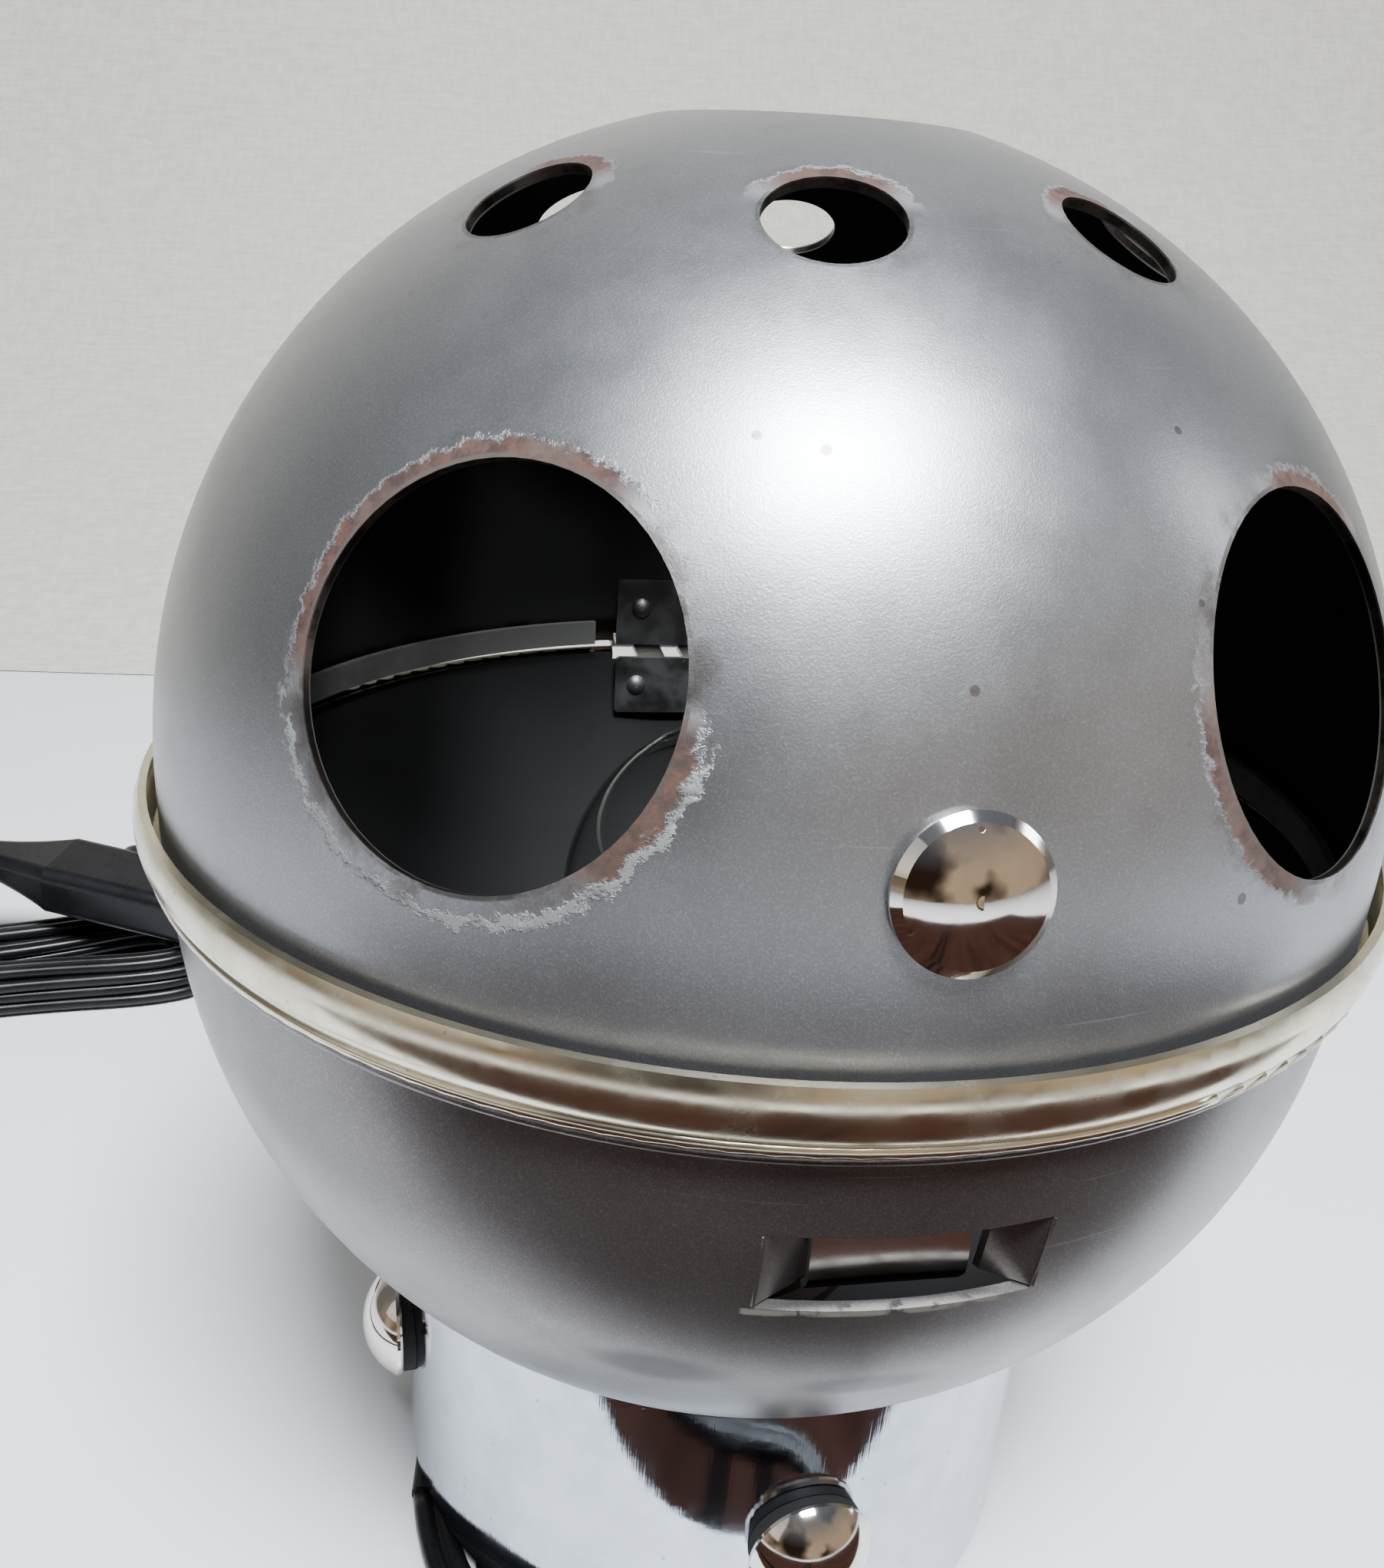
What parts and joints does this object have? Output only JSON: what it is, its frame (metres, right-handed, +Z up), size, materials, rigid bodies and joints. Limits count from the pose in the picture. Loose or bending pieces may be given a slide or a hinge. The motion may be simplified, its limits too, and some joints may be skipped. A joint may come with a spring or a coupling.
{
  "type": "hinged ball table lamp",
  "caption": "Small silver ball lamp whose upper half hinges open, with two round front openings, a chrome knob, a catch slot, a trim ring, a chrome drum base, a flex and a plug.",
  "frame": {"origin": "centre of the foot pad's underside", "axes": "+Z up through the ball, -Y towards the knob and the slot, hinge at +Y, flex leaves at -X"},
  "size_m": [0.2491, 0.2351, 0.1682],
  "materials": {
    "silver_paint": "satin metallic, worn",
    "polished_trim": "polished, slightly yellowed",
    "grey_strip": "matt",
    "chrome": "bright",
    "black_rubber": "matt",
    "plated_steel": "plated",
    "brass": "dull",
    "bakelite": "semi-gloss",
    "clear_glass": "clear",
    "black_flex": "semi-gloss"
  },
  "bodies": {
    "base": {"lower_shell": "silver_paint", "base_drum": "chrome", "plug_pins": "chrome", "dome_bolt_front": "chrome", "dome_bolt_right": "chrome", "dome_bolt_rear": "chrome", "dome_bolt_left": "chrome", "foot_pad": "black_rubber", "dome_washer_front": "black_rubber", "dome_washer_right": "black_rubber", "dome_washer_rear": "black_rubber", "dome_washer_left": "black_rubber", "hinge_leaf_lower": "plated_steel", "hinge_pin": "plated_steel", "hinge_rivets_lower": "plated_steel", "spider_bracket": "plated_steel", "base_plate": "plated_steel", "bracket_screws": "plated_steel", "plate_screws": "plated_steel", "nipple": "plated_steel", "nipple_nut_lower": "plated_steel", "nipple_nut_upper": "plated_steel", "bulb_cap": "plated_steel", "dome_nut_front": "plated_steel", "dome_nut_right": "plated_steel", "dome_nut_rear": "plated_steel", "dome_nut_left": "plated_steel", "pillar_front": "plated_steel", "pillar_right": "plated_steel", "pillar_rear": "plated_steel", "pillar_left": "plated_steel", "holder_liner": "brass", "holder_contact": "brass", "lampholder": "bakelite", "shade_ring": "bakelite", "cable_clamp": "bakelite", "bulb_glass": "clear_glass", "bulb_stem": "clear_glass", "inner_lead": "black_flex", "strain_relief": "black_flex", "flex_tube": "black_flex", "flex_hank": "black_flex", "hank_tie": "black_flex", "plug_body": "black_flex", "plug_lead": "black_flex"},
    "lid": {"upper_shell": "silver_paint", "trim_ring": "polished_trim", "rim_strip_left": "grey_strip", "rim_strip_right": "grey_strip", "knob": "chrome", "knob_nut": "plated_steel", "catch_spring": "plated_steel", "hinge_leaf_upper": "plated_steel", "hinge_rivets_upper": "plated_steel"}
  },
  "joints": [
    {"name": "lid_hinge", "type": "hinge", "parent": "base", "child": "lid", "pos_m": [0, 0.0706, 0.0946], "axis": [-1, 0, 0], "range_deg": [0, 100]}
  ]
}
